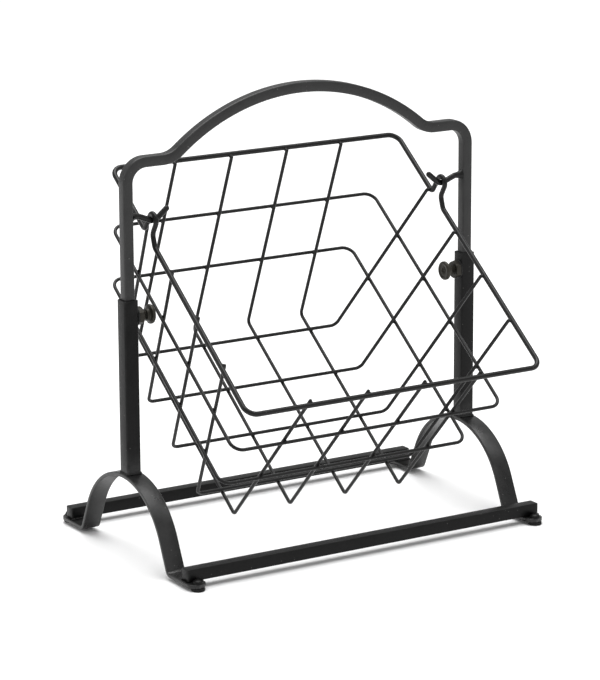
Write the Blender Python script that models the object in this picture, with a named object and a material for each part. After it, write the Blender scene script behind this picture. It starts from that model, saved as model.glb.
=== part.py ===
"""Adjustable wrought-metal stand with a hanging wire basket for photo albums.

Frame: metres, +X to the right along the floor rails, +Y to the rear, +Z up.
The floor is at Z = 0, and the origin lies under the middle of the whole
object's box. Everything hangs from the empty "stand", whose Y = 0 plane holds
the two posts, the bent handle and the hooks.
"""

import math

import bmesh
import bpy
from mathutils import Matrix, Vector

MM = 0.001

# Floor glides and their screws
GLIDE_RADIUS = 7.0 * MM
GLIDE_THICKNESS = 3.0 * MM
GLIDE_FLOOR = 1.0 * MM          # left under the screw's pocket
GLIDE_EDGE = 0.8 * MM
SCREW_HEAD_RADIUS = 5.4 * MM
SCREW_HEAD_HEIGHT = 4.2 * MM
SCREW_HEAD_BAND = 0.25          # straight share of the head's height, under the dome
SCREW_RADIUS = 2.0 * MM
SCREW_LENGTH = 5.4 * MM
SCREW_CLEARANCE = 0.3 * MM

# Leg arches: flat bar bent into an arch, its ends turned out as tabs
STRIP_WIDTH = 20.0 * MM
STRIP_THICKNESS = 4.0 * MM
ARCH_RADIUS = 86.0 * MM         # outer face of the arch
ARCH_HALF_ANGLE = 65.0          # degrees from the top to where the leg runs straight
ARCH_HEIGHT = 87.0 * MM         # outer face of the arch above the floor
LEG_BEND_RADIUS = 7.0 * MM      # middle of the bar, where leg turns into tab
TAB_BEYOND_SCREW = 5.6 * MM
TAB_END_ANGLES = (10.0, 25.0, 40.0, 55.0, 70.0, 90.0)   # round the tab's end

# Floor rails: solid square bar lying on the tabs
RAIL_SIZE = 12.7 * MM
RAIL_PAST_POST = 8.0 * MM       # beyond the middle of a post, at each end
RAIL_SPACING = 245.0 * MM       # middle to middle, front to rear
RAIL_EDGE = 0.9 * MM
RAIL_TO_SCREW = 0.6 * MM

# Posts: square tube sleeves standing on the arches
POST_SPACING = 406.0 * MM       # middle to middle
SLEEVE_SIZE = 16.0 * MM
SLEEVE_WALL = 1.5 * MM
SLEEVE_CORNER = 1.6 * MM
SLEEVE_LENGTH = 179.7 * MM

# Bent handle: one square tube whose legs slide in the sleeves
TUBE_SIZE = 11.2 * MM
TUBE_WALL = 1.2 * MM
TUBE_CORNER = 1.3 * MM
HANDLE_TOP = 468.6 * MM         # outer face above the floor
SHOULDER_TOP = 411.0 * MM
DIP_FROM_POST = 41.0 * MM       # centre of the hollow bend, inward from the post
DIP_RADIUS = 30.0 * MM          # middle of the tube, in the hollow bend under the crown
SHOULDER_RADIUS = 21.0 * MM
LEG_IN_SLEEVE = 150.0 * MM

# Clamp screws: knob, stud and the nut that the stud runs in
CLAMP_BELOW_MOUTH = 18.0 * MM
NUT_ACROSS_FLATS = 17.0 * MM
NUT_THICKNESS = 6.5 * MM
STUD_RADIUS = 5.0 * MM
STUD_CLEARANCE = 0.3 * MM
STUD_TIP = 1.0 * MM             # chamfer at the pressing end
NECK_LENGTH = 4.2 * MM          # bare stud between nut and knob
KNOB_COLLAR_RADIUS = 6.4 * MM
KNOB_COLLAR_LENGTH = 4.0 * MM
KNOB_RADIUS = 10.0 * MM
KNOB_THICKNESS = 4.0 * MM
KNOB_EDGE = 1.2 * MM
KNOB_LIP = 0.5 * MM             # chamfer round the dimple
KNOB_DIMPLE_RADIUS = 3.4 * MM
KNOB_DIMPLE_DEPTH = 1.3 * MM

# Hooks: round rods on the inner faces of the handle's legs
HOOK_RADIUS = 3.0 * MM
HOOK_HEIGHT = 344.5 * MM        # lowest point of the rod's middle above the floor
HOOK_ROOT_RISE = 6.0 * MM
HOOK_BEND_RADIUS = 9.0 * MM
HOOK_ROOT_BEND = 20.0 * MM
HOOK_ROOT_ANGLE = 22.0          # degrees, from the low point up to the root
HOOK_TIP_ANGLE = 40.0           # degrees, from the low point up to the tip
HOOK_TIP_REACH = 18.0 * MM      # from the low point to the tip, along X

# Basket, with its rim flat: lengths are to the middle of the wires
RIM_RADIUS = 2.7 * MM
WIRE_RADIUS = 1.65 * MM
RIM_LENGTH = 346.0 * MM
RIM_DEPTH = 334.0 * MM
RIM_CORNER = 12.0 * MM
RING_CORNER = 12.0 * MM
UPPER_RING_DROP = 70.0 * MM
LOWER_RING_DROP = 136.0 * MM
BASKET_DROP = 212.0 * MM
BOTTOM_LENGTH = 262.0 * MM
BOTTOM_REAR = 110.0 * MM        # behind the rim's middle
BOTTOM_FRONT = 133.0 * MM       # in front of the rim's middle
CROSS_WIRES = 4
CROSS_SPACING = 67.0 * MM
LONG_WIRES = 4
LONG_SPACING = 62.5 * MM
LONG_MIDDLE = -9.0 * MM         # middle of the long wires, forward of the rim's
REAR_BEND = 6.0 * MM
FRONT_BEND = 4.0 * MM
END_BEND = 8.0 * MM
FRONT_TIP = 3.0 * MM            # cross wires above the front rim
REAR_TIP = 2.0 * MM
LONG_TIP = 1.5 * MM

# Eyes: the humps in the rim's ends that hang over the hooks
EYE_BACK = 75.0 * MM            # behind the rim's middle
EYE_UP = 20.0 * MM              # above the rim
EYE_CLEARANCE = 0.8 * MM
EYE_FOOT = 3.5 * MM             # sharp bend at the eye's rear foot
EYE_RUN_OUT = 19.0 * MM         # from the eye's middle to where the rim is straight again
EYE_SWEEP = 8.0 * MM
EYE_LEAN = 1.4 * MM             # how far the eye's front side leans out near its foot
EYE_LEAN_SHARE = 0.4            # of the eye's height, where it leans most

GAP = 0.3 * MM                  # between pieces that touch or are welded
ARC_STEP = 18.0                 # degrees between points along small bends
BEND_STEP = 10.0                # along the handle's hollow bends and the hooks
ARCH_STEP = 8.0                 # along the leg arches
CROWN_STEP = 3.3                # along the handle's crown
ROUND_SIDES = 18
KNOB_SIDES = 24
DOME_ANGLES = (0.0, 22.5, 45.0, 67.5)
SOFT_EDGE = 35.0                # degrees; shallower edges are shaded round
SAME_POINT = 0.05 * MM          # path points closer than this count as one


# ---------------------------------------------------------------- places

HALF_POST = POST_SPACING / 2
RAIL_LENGTH = POST_SPACING + 2 * RAIL_PAST_POST
TAB_MIDDLE = GLIDE_THICKNESS + GAP + STRIP_THICKNESS / 2
TAB_TOP = TAB_MIDDLE + STRIP_THICKNESS / 2
RAIL_Y = RAIL_SPACING / 2
SCREW_Y = RAIL_Y + RAIL_SIZE / 2 + RAIL_TO_SCREW + SCREW_HEAD_RADIUS
SLEEVE_BOTTOM = ARCH_HEIGHT + GAP
SLEEVE_TOP = SLEEVE_BOTTOM + SLEEVE_LENGTH
CLAMP_Z = SLEEVE_TOP - CLAMP_BELOW_MOUTH
SLEEVE_INNER_FACE = HALF_POST - SLEEVE_SIZE / 2
LEG_INNER_FACE = HALF_POST - TUBE_SIZE / 2
HANG = RIM_RADIUS + WIRE_RADIUS + GAP
CROSSING = 2 * WIRE_RADIUS + GAP


# ---------------------------------------------------------------- scene helpers

def clear_scene():
    for item in list(bpy.data.objects):
        bpy.data.objects.remove(item, do_unlink=True)


def make_material(name, colour, roughness, metallic):
    material = bpy.data.materials.new(name)
    material.use_nodes = True
    shader = material.node_tree.nodes["Principled BSDF"]
    shader.inputs["Base Color"].default_value = (*colour, 1.0)
    shader.inputs["Roughness"].default_value = roughness
    shader.inputs["Metallic"].default_value = metallic
    return material


def make_empty(name, location, parent=None, tilt=0.0):
    empty = bpy.data.objects.new(name, None)
    empty.location = location
    empty.rotation_euler = (tilt, 0.0, 0.0)
    empty.parent = parent
    bpy.context.scene.collection.objects.link(empty)
    return empty


def make_object(name, data, material, parent, location=(0.0, 0.0, 0.0)):
    item = bpy.data.objects.new(name, data)
    item.data.materials.append(material)
    item.location = location
    item.parent = parent
    bpy.context.scene.collection.objects.link(item)
    return item


def mesh_from(name, bm, soft=True):
    """Close a bmesh into a mesh with its faces out, shading its shallow edges round."""
    bmesh.ops.recalc_face_normals(bm, faces=bm.faces)
    mesh = bpy.data.meshes.new(name)
    bm.to_mesh(mesh)
    bm.free()
    if soft:
        mesh.shade_smooth()
        mesh.set_sharp_from_angle(angle=math.radians(SOFT_EDGE))
    return mesh


def drill(target, name, radius, centre, axis, length):
    """Cut a round hole; centre is in the target's parent's frame."""
    bm = bmesh.new()
    bmesh.ops.create_cone(bm, cap_ends=True, segments=ROUND_SIDES, radius1=radius,
                          radius2=radius, depth=length)
    cutter = make_object(name, mesh_from(name, bm), target.data.materials[0],
                         target.parent, centre)
    cutter.rotation_euler = Vector(axis).to_track_quat("Z", "Y").to_euler()
    cutter.hide_render = True
    cutter.display_type = "WIRE"
    cut = target.modifiers.new(name, "BOOLEAN")
    cut.operation = "DIFFERENCE"
    cut.solver = "EXACT"
    cut.object = cutter


# ---------------------------------------------------------------- outlines and paths

def rounded_path(corners, closed=False):
    """Points along straight runs with a round bend at each corner.

    corners is a list of (point, bend radius)."""
    path = []
    count = len(corners)
    for index, (point, radius) in enumerate(corners):
        point = Vector(point)
        is_end = not closed and index in (0, count - 1)
        if is_end or radius == 0.0:
            path.append(point)
            continue
        back = (Vector(corners[index - 1][0]) - point).normalized()
        ahead = (Vector(corners[(index + 1) % count][0]) - point).normalized()
        turn = math.pi - back.angle(ahead)
        centre = point + (back + ahead).normalized() * (radius / math.cos(turn / 2))
        start = point + back * (radius * math.tan(turn / 2)) - centre
        turn_axis = (-back).cross(ahead).normalized()
        steps = max(2, round(math.degrees(turn) / ARC_STEP))
        for step in range(steps + 1):
            spin = Matrix.Rotation(turn * step / steps, 3, turn_axis)
            path.append(centre + spin @ start)
    clean = [path[0]]
    for point in path[1:]:
        if (point - clean[-1]).length > SAME_POINT:
            clean.append(point)
    if closed and (clean[0] - clean[-1]).length < SAME_POINT:
        clean.pop()
    return clean


def arc(centre, radius, start, end, step):
    """Points on a circle as (across, up), angles in degrees from straight up."""
    count = max(2, round(abs(end - start) / step))
    points = []
    for index in range(count + 1):
        angle = math.radians(start + (end - start) * index / count)
        points.append((centre[0] + radius * math.sin(angle),
                       centre[1] + radius * math.cos(angle)))
    return points


def square_outline(size, corner):
    """Corner points of a square with three-sided rounded corners, as (a, b)."""
    inner = size / 2 - corner
    points = []
    for quarter in range(4):
        middle = 45.0 + 90.0 * quarter
        sign_a = math.copysign(1.0, math.cos(math.radians(middle)))
        sign_b = math.copysign(1.0, math.sin(math.radians(middle)))
        for offset in (-45.0, 0.0, 45.0):
            angle = math.radians(middle + offset)
            points.append((sign_a * inner + corner * math.cos(angle),
                           sign_b * inner + corner * math.sin(angle)))
    return points


def hexagon_outline(across_flats, per_side):
    """Points round a hexagon, per_side of them on each flat."""
    corner_radius = across_flats / math.sqrt(3.0)
    corners = [Vector((corner_radius * math.cos(math.radians(60.0 * k)),
                       corner_radius * math.sin(math.radians(60.0 * k)))) for k in range(6)]
    points = []
    for side in range(6):
        for step in range(per_side):
            points.append(tuple(corners[side].lerp(corners[(side + 1) % 6], step / per_side)))
    return points


def circle_outline(radius, count):
    return [(radius * math.cos(2 * math.pi * k / count),
             radius * math.sin(2 * math.pi * k / count)) for k in range(count)]


# ---------------------------------------------------------------- solids

def skin_rings(bm, rings):
    """Join successive rings of vertices with quads."""
    count = len(rings[0])
    for first, second in zip(rings, rings[1:]):
        for k in range(count):
            bm.faces.new((first[k], first[(k + 1) % count],
                          second[(k + 1) % count], second[k]))


def swept_bar(path, outlines):
    """Bar along a flat path of (across, up) points; one outline for each point.

    An outline point (a, b) lies a out from the path, in its plane, and b along
    the plane's normal. Returns a bmesh in (across, normal, up) coordinates and
    its rings of vertices."""
    bm = bmesh.new()
    rings = []
    for index, point in enumerate(path):
        here = Vector(point)
        before = Vector(path[max(index - 1, 0)])
        after = Vector(path[min(index + 1, len(path) - 1)])
        first = (here - before).normalized() if index else (after - here).normalized()
        second = (after - here).normalized() if index < len(path) - 1 else first
        along = (first + second).normalized()
        out = Vector((-along.y, along.x)) / max(along.dot(first), 0.5)
        rings.append([bm.verts.new((here.x + a * out.x, b, here.y + a * out.y))
                      for a, b in outlines[index]])
    skin_rings(bm, rings)
    return bm, rings


def tube_between(outer, inner, low, high):
    """Straight tube along Z; outer and inner outlines have the same number of points."""
    bm = bmesh.new()
    rings = []
    for outline, height in ((outer, low), (outer, high), (inner, high), (inner, low)):
        rings.append([bm.verts.new((a, b, height)) for a, b in outline])
    skin_rings(bm, rings + [rings[0]])
    return bm


def turned(profile, sides=ROUND_SIDES):
    """Solid of revolution about Z from (radius, height) points, both ends on the axis."""
    bm = bmesh.new()
    bottom = bm.verts.new((0.0, 0.0, profile[0][1]))
    top = bm.verts.new((0.0, 0.0, profile[-1][1]))
    rings = []
    for radius, height in profile[1:-1]:
        rings.append([bm.verts.new((a, b, height)) for a, b in circle_outline(radius, sides)])
    skin_rings(bm, rings)
    for k in range(sides):
        bm.faces.new((bottom, rings[0][(k + 1) % sides], rings[0][k]))
        bm.faces.new((top, rings[-1][k], rings[-1][(k + 1) % sides]))
    return bm


def bent_rod(name, path, radius, material, parent, closed=False):
    """Round rod or wire along a path of points."""
    curve = bpy.data.curves.new(name, "CURVE")
    curve.dimensions = "3D"
    curve.bevel_depth = radius
    curve.bevel_resolution = 2
    curve.use_fill_caps = True
    spline = curve.splines.new("POLY")
    spline.points.add(len(path) - 1)
    for slot, point in zip(spline.points, path):
        slot.co = (*point, 1.0)
    spline.use_cyclic_u = closed
    return make_object(name, curve, material, parent)


# ---------------------------------------------------------------- base

def arch_path():
    """Middle line of an arch from its rear tab over the top to its front tab."""
    radius = ARCH_RADIUS - STRIP_THICKNESS / 2
    centre_z = ARCH_HEIGHT - ARCH_RADIUS
    top = arc((0.0, centre_z), radius, ARCH_HALF_ANGLE, -ARCH_HALF_ANGLE, ARCH_STEP)
    leave_y, leave_z = top[0]
    slope = math.tan(math.radians(ARCH_HALF_ANGLE))
    knee_y = leave_y + (leave_z - TAB_MIDDLE) / slope
    tab_end = SCREW_Y + TAB_BEYOND_SCREW
    foot = rounded_path([((tab_end, TAB_MIDDLE, 0.0), 0.0),
                         ((knee_y, TAB_MIDDLE, 0.0), LEG_BEND_RADIUS),
                         ((leave_y, leave_z, 0.0), 0.0)])
    rear = [(point.x, point.y) for point in foot[1:-1]]
    front = [(-across, up) for across, up in reversed(rear)]
    return rear, top, front, tab_end


def strip_outline(half_width):
    half = STRIP_THICKNESS / 2
    return [(half, half_width), (-half, half_width), (-half, -half_width), (half, -half_width)]


def leg_arch(name, x, material, parent):
    rear, top, front, tab_end = arch_path()
    end_radius = STRIP_WIDTH / 2
    round_end = [(tab_end - end_radius * (1 - math.cos(math.radians(angle))), TAB_MIDDLE)
                 for angle in TAB_END_ANGLES]
    widths = [end_radius * math.sin(math.radians(angle)) for angle in TAB_END_ANGLES]
    path = (round_end + rear + top + front
            + [(-across, up) for across, up in reversed(round_end)])
    full = [end_radius] * (len(rear) + len(top) + len(front))
    outlines = [strip_outline(width) for width in widths + full + widths[::-1]]
    bm, rings = swept_bar(path, outlines)
    bm.faces.new(rings[0])
    bm.faces.new(rings[-1])
    for vert in bm.verts:
        across, width, up = vert.co
        vert.co = (width, across, up)
    arch = make_object(name, mesh_from(name, bm), material, parent, (x, 0.0, 0.0))
    for side, word in ((-1, "front"), (1, "rear")):
        drill(arch, f"{name}_{word}_hole_cutter", SCREW_RADIUS + SCREW_CLEARANCE,
              (x, side * SCREW_Y, TAB_MIDDLE), (0, 0, 1), 3 * STRIP_THICKNESS)
    return arch


def rail(name, y, material, parent):
    bm = bmesh.new()
    bmesh.ops.create_cube(bm, size=1.0)
    bmesh.ops.scale(bm, vec=(RAIL_LENGTH, RAIL_SIZE, RAIL_SIZE), verts=bm.verts)
    bar = make_object(name, mesh_from(name, bm, soft=False), material, parent,
                      (0.0, y, TAB_TOP + GAP + RAIL_SIZE / 2))
    eased = bar.modifiers.new("eased edges", "BEVEL")
    eased.width = RAIL_EDGE
    eased.segments = 2
    eased.limit_method = "ANGLE"
    return bar


def foot_glide(name, x, y, material, parent):
    pocket = SCREW_RADIUS + SCREW_CLEARANCE
    profile = [(0.0, 0.0), (GLIDE_RADIUS - GLIDE_EDGE, 0.0), (GLIDE_RADIUS, GLIDE_EDGE),
               (GLIDE_RADIUS, GLIDE_THICKNESS), (pocket, GLIDE_THICKNESS),
               (pocket, GLIDE_FLOOR), (0.0, GLIDE_FLOOR)]
    return make_object(name, mesh_from(name, turned(profile)), material, parent,
                       (x, y, 0.0))


def foot_screw(name, x, y, material, parent):
    dome = []
    for angle in DOME_ANGLES:
        rise = SCREW_HEAD_BAND + (1 - SCREW_HEAD_BAND) * math.sin(math.radians(angle))
        dome.append((SCREW_HEAD_RADIUS * math.cos(math.radians(angle)),
                     SCREW_HEAD_HEIGHT * rise))
    profile = ([(0.0, -SCREW_LENGTH), (SCREW_RADIUS, -SCREW_LENGTH), (SCREW_RADIUS, 0.0),
                (SCREW_HEAD_RADIUS, 0.0)] + dome + [(0.0, SCREW_HEAD_HEIGHT)])
    return make_object(name, mesh_from(name, turned(profile)), material, parent,
                       (x, y, TAB_TOP + GAP))


def post_sleeve(name, side, material, parent):
    outer = square_outline(SLEEVE_SIZE, SLEEVE_CORNER)
    inner = square_outline(SLEEVE_SIZE - 2 * SLEEVE_WALL, SLEEVE_CORNER / 3)
    sleeve = make_object(name, mesh_from(name, tube_between(outer, inner, 0.0, SLEEVE_LENGTH)),
                         material, parent, (side * HALF_POST, 0.0, SLEEVE_BOTTOM))
    drill(sleeve, f"{name}_stud_hole_cutter", STUD_RADIUS + STUD_CLEARANCE,
          (side * (SLEEVE_INNER_FACE + SLEEVE_WALL / 2), 0.0, CLAMP_Z), (1, 0, 0),
          3 * SLEEVE_WALL)
    return sleeve


# ---------------------------------------------------------------- clamp screws

def lay_along_x(item, inward):
    """Turn a piece made along Z so that its top points inward along X."""
    item.rotation_euler = (0.0, math.radians(90.0) * inward, 0.0)
    return item


def clamp_nut(name, side, material, parent):
    per_side = ROUND_SIDES // 6
    bm = tube_between(hexagon_outline(NUT_ACROSS_FLATS, per_side),
                      circle_outline(STUD_RADIUS + STUD_CLEARANCE, ROUND_SIDES),
                      0.0, NUT_THICKNESS)
    nut = make_object(name, mesh_from(name, bm), material, parent,
                      (side * (SLEEVE_INNER_FACE - GAP), 0.0, CLAMP_Z))
    return lay_along_x(nut, -side)


def stud_length():
    """From the handle's leg, through the sleeve's wall and the nut, to the knob."""
    return LEG_INNER_FACE - SLEEVE_INNER_FACE + NUT_THICKNESS + NECK_LENGTH


def clamp_stud(name, side, material, parent):
    length = stud_length()
    profile = [(0.0, 0.0), (STUD_RADIUS - STUD_TIP, 0.0), (STUD_RADIUS, STUD_TIP),
               (STUD_RADIUS, length), (0.0, length)]
    stud = make_object(name, mesh_from(name, turned(profile)), material, parent)
    return lay_along_x(stud, -side)


def clamp_knob(name, side, material, parent):
    collar = KNOB_COLLAR_LENGTH
    face = collar + KNOB_THICKNESS
    profile = [(0.0, 0.0), (KNOB_COLLAR_RADIUS, 0.0), (KNOB_COLLAR_RADIUS, collar - KNOB_EDGE),
               (KNOB_RADIUS - KNOB_EDGE, collar), (KNOB_RADIUS, collar + KNOB_EDGE),
               (KNOB_RADIUS, face - KNOB_EDGE), (KNOB_RADIUS - KNOB_EDGE, face),
               (KNOB_DIMPLE_RADIUS + KNOB_LIP, face), (KNOB_DIMPLE_RADIUS, face - KNOB_LIP),
               (KNOB_DIMPLE_RADIUS / 2, face - KNOB_DIMPLE_DEPTH),
               (0.0, face - KNOB_DIMPLE_DEPTH)]
    knob = make_object(name, mesh_from(name, turned(profile, KNOB_SIDES)), material, parent)
    return lay_along_x(knob, -side)


# ---------------------------------------------------------------- handle and hooks

def handle_path():
    """Middle line of the handle from the left leg's end to the right leg's."""
    leg_end = SLEEVE_TOP - LEG_IN_SLEEVE
    shoulder_z = SHOULDER_TOP - TUBE_SIZE / 2
    top_z = HANDLE_TOP - TUBE_SIZE / 2
    dip_x = HALF_POST - DIP_FROM_POST
    dip_z = shoulder_z + DIP_RADIUS
    fall = top_z - dip_z
    crown_radius = (dip_x ** 2 + fall ** 2 - DIP_RADIUS ** 2) / (2 * (DIP_RADIUS + fall))
    crown_z = top_z - crown_radius
    crown_angle = math.degrees(math.atan2(dip_x, dip_z - crown_z))
    corner_x = HALF_POST - SHOULDER_RADIUS
    corner_z = shoulder_z - SHOULDER_RADIUS
    right = (arc((0.0, crown_z), crown_radius, 0.0, crown_angle, CROWN_STEP)
             + arc((dip_x, dip_z), DIP_RADIUS, 180.0 + crown_angle, 180.0, BEND_STEP)[1:]
             + arc((corner_x, corner_z), SHOULDER_RADIUS, 0.0, 90.0, ARC_STEP)
             + [(HALF_POST, leg_end)])
    left = [(-across, up) for across, up in reversed(right[1:])]
    return left + right


def handle(name, material, parent):
    path = handle_path()
    outer, rings = swept_bar(path, [square_outline(TUBE_SIZE, TUBE_CORNER)] * len(path))
    inner_outline = square_outline(TUBE_SIZE - 2 * TUBE_WALL, TUBE_CORNER / 2)
    inner_rings = []
    inner, made = swept_bar(path, [inner_outline] * len(path))
    for ring in made:
        inner_rings.append([outer.verts.new(vert.co) for vert in ring])
    inner.free()
    skin_rings(outer, inner_rings)
    for outside, inside in ((rings[0], inner_rings[0]), (rings[-1], inner_rings[-1])):
        skin_rings(outer, [outside, inside])
    return make_object(name, mesh_from(name, outer), material, parent)


def hook_path(side):
    """Middle line of a hook from its root on the leg to its tip, in the handle's frame."""
    low_x = RIM_LENGTH / 2
    centre = (low_x, HOOK_HEIGHT + HOOK_BEND_RADIUS)
    bend = arc(centre, HOOK_BEND_RADIUS, 180.0 - HOOK_ROOT_ANGLE, 180.0 + HOOK_TIP_ANGLE,
               BEND_STEP)
    root_z = HOOK_HEIGHT + HOOK_ROOT_RISE
    rise = root_z - bend[0][1]
    knee_x = bend[0][0] + rise / math.tan(math.radians(HOOK_ROOT_ANGLE))
    tip_run = low_x - HOOK_TIP_REACH - bend[-1][0]
    tip = (bend[-1][0] + tip_run, bend[-1][1] - tip_run * math.tan(math.radians(HOOK_TIP_ANGLE)))
    root = rounded_path([((LEG_INNER_FACE - GAP, 0.0, root_z), 0.0),
                         ((knee_x, 0.0, root_z), HOOK_ROOT_BEND),
                         ((bend[0][0], 0.0, bend[0][1]), 0.0)])
    points = root[:-1] + [Vector((across, 0.0, up)) for across, up in bend + [tip]]
    return [Vector((side * point.x, 0.0, point.z)) for point in points]


# ---------------------------------------------------------------- basket

def from_eye(x, y, z):
    """Place measured from the rim's middle, given from the eyes' axis."""
    return Vector((x, y - EYE_BACK, z - EYE_UP))


def rim_path():
    end_x = RIM_LENGTH / 2
    depth = RIM_DEPTH / 2
    half_eye = HOOK_RADIUS + EYE_CLEARANCE + RIM_RADIUS
    eye_top = EYE_UP + half_eye
    side_run = [((depth, 0.0), RIM_CORNER),
                ((EYE_BACK + half_eye, 0.0), EYE_FOOT),
                ((EYE_BACK + half_eye, eye_top), half_eye),
                ((EYE_BACK - half_eye, eye_top), half_eye),
                ((EYE_BACK - half_eye - EYE_LEAN, EYE_UP * EYE_LEAN_SHARE), EYE_SWEEP),
                ((EYE_BACK - EYE_RUN_OUT, 0.0), EYE_SWEEP),
                ((-depth, 0.0), RIM_CORNER)]
    right = [(from_eye(end_x, y, z), bend) for (y, z), bend in side_run]
    left = [(from_eye(-end_x, y, z), bend) for (y, z), bend in reversed(side_run)]
    return rounded_path(right + left, closed=True)


def wall_at(bottom, top, drop, full_drop):
    """Distance out of a sloping wire wall at a drop below the rim."""
    return top + (bottom - top) * drop / full_drop


def ring_path(drop):
    """Ring lying round the outside of the sloping wires at a drop below the rim."""
    rim_y = RIM_DEPTH / 2 - HANG
    rim_x = RIM_LENGTH / 2 - HANG
    sides = []
    for low, high, full in ((BOTTOM_REAR, rim_y, BASKET_DROP),
                            (BOTTOM_FRONT, rim_y, BASKET_DROP),
                            (BOTTOM_LENGTH / 2, rim_x, BASKET_DROP - CROSSING)):
        lean = math.atan2(high - low, full)
        sides.append(wall_at(low, high, drop, full) + CROSSING / math.cos(lean))
    rear, front, end = sides
    places = [(end, rear), (end, -front), (-end, -front), (-end, rear)]
    return rounded_path([(from_eye(x, y, -drop), RING_CORNER) for x, y in places], closed=True)


def cross_wire_path(x):
    """Wire from the rear rim, down, under the bottom and up to the front rim."""
    rim_y = RIM_DEPTH / 2 - HANG
    rear_out = (rim_y - BOTTOM_REAR) * REAR_TIP / BASKET_DROP
    front_out = (rim_y - BOTTOM_FRONT) * FRONT_TIP / BASKET_DROP
    return rounded_path([(from_eye(x, rim_y + rear_out, REAR_TIP), 0.0),
                         (from_eye(x, BOTTOM_REAR, -BASKET_DROP), REAR_BEND),
                         (from_eye(x, -BOTTOM_FRONT, -BASKET_DROP), FRONT_BEND),
                         (from_eye(x, -rim_y - front_out, FRONT_TIP), 0.0)])


def long_wire_path(y):
    """Wire from one end of the rim, down, along the bottom and up to the other end."""
    rim_x = RIM_LENGTH / 2 - HANG
    half = BOTTOM_LENGTH / 2
    drop = BASKET_DROP - CROSSING
    out = (rim_x - half) * LONG_TIP / drop
    return rounded_path([(from_eye(-rim_x - out, y, LONG_TIP), 0.0),
                         (from_eye(-half, y, -drop), END_BEND),
                         (from_eye(half, y, -drop), END_BEND),
                         (from_eye(rim_x + out, y, LONG_TIP), 0.0)])


def evenly(count, spacing, middle=0.0):
    return [middle + (index - (count - 1) / 2) * spacing for index in range(count)]


def basket_wires():
    """Every wire of the basket as (name, path, radius, closed)."""
    wires = [("basket_rim", rim_path(), RIM_RADIUS, True),
             ("basket_ring_upper", ring_path(UPPER_RING_DROP), WIRE_RADIUS, True),
             ("basket_ring_lower", ring_path(LOWER_RING_DROP), WIRE_RADIUS, True)]
    for number, x in enumerate(evenly(CROSS_WIRES, CROSS_SPACING), 1):
        wires.append((f"basket_cross_wire_{number}", cross_wire_path(x), WIRE_RADIUS, False))
    for number, y in enumerate(evenly(LONG_WIRES, -LONG_SPACING, LONG_MIDDLE), 1):
        wires.append((f"basket_long_wire_{number}", long_wire_path(y), WIRE_RADIUS, False))
    return wires


def hanging_tilt(wires):
    """Angle at which the basket's centre of mass lies under the hooks."""
    total = 0.0
    moment = Vector((0.0, 0.0, 0.0))
    for name, path, radius, closed in wires:
        ends = path[1:] + path[:1] if closed else path[1:]
        for start, end in zip(path, ends):
            mass = (end - start).length * radius ** 2
            total += mass
            moment += (start + end) / 2 * mass
    middle = moment / total
    return math.atan2(-middle.y, -middle.z)


def middle_shift(wires, tilt):
    """How far the stand moves along Y so that the whole box is centred on the origin."""
    turn = Matrix.Rotation(tilt, 3, "X")
    front = min((turn @ point).y - radius for _, path, radius, _ in wires for point in path)
    rear = max((turn @ point).y + radius for _, path, radius, _ in wires for point in path)
    return -(front + rear) / 2


# ---------------------------------------------------------------- build

def build():
    clear_scene()
    black = make_material("black_powder_coat", (0.022, 0.022, 0.023), 0.42, 0.0)
    wire_black = make_material("black_wire_coat", (0.018, 0.018, 0.018), 0.38, 0.0)
    bronze = make_material("dark_screw_finish", (0.045, 0.043, 0.036), 0.45, 0.6)
    rubber = make_material("dark_rubber", (0.02, 0.02, 0.02), 0.8, 0.0)

    wires = basket_wires()
    tilt = hanging_tilt(wires)
    stand = make_empty("stand", (0.0, middle_shift(wires, tilt), 0.0))

    for side, word in ((-1, "left"), (1, "right")):
        x = side * HALF_POST
        leg_arch(f"{word}_leg_arch", x, black, stand)
        post_sleeve(f"{word}_post_sleeve", side, black, stand)
        clamp_nut(f"{word}_clamp_nut", side, bronze, stand)
        travel = make_empty(f"{word}_stud_axis", (side * (LEG_INNER_FACE - GAP), 0.0, CLAMP_Z),
                            stand)
        clamp_stud(f"{word}_clamp_stud", side, bronze, travel)
        knob_at = make_empty(f"{word}_knob_axis", (-side * (stud_length() + GAP), 0.0, 0.0),
                             travel)
        clamp_knob(f"{word}_clamp_knob", side, bronze, knob_at)
        for end, place in ((-1, "front"), (1, "rear")):
            foot_glide(f"{place}_{word}_foot_glide", x, end * SCREW_Y, rubber, stand)
            foot_screw(f"{place}_{word}_foot_screw", x, end * SCREW_Y, black, stand)
    rail("front_rail", -RAIL_Y, black, stand)
    rail("rear_rail", RAIL_Y, black, stand)

    slide = make_empty("handle_slide", (0.0, 0.0, 0.0), stand)
    handle("bent_handle", black, slide)
    for side, word in ((-1, "left"), (1, "right")):
        bent_rod(f"{word}_hook_rod", hook_path(side), HOOK_RADIUS, black, slide)

    eyes = make_empty("basket_hang_axis", (0.0, 0.0, HOOK_HEIGHT), slide, tilt)
    for name, path, radius, closed in wires:
        bent_rod(name, path, radius, wire_black, eyes, closed)
    bpy.context.view_layer.update()


build()
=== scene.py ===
"""Looks of the photo album stand: smooth painted metal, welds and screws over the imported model."""

import math
import random

import bpy
from mathutils import Matrix, Vector


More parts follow.
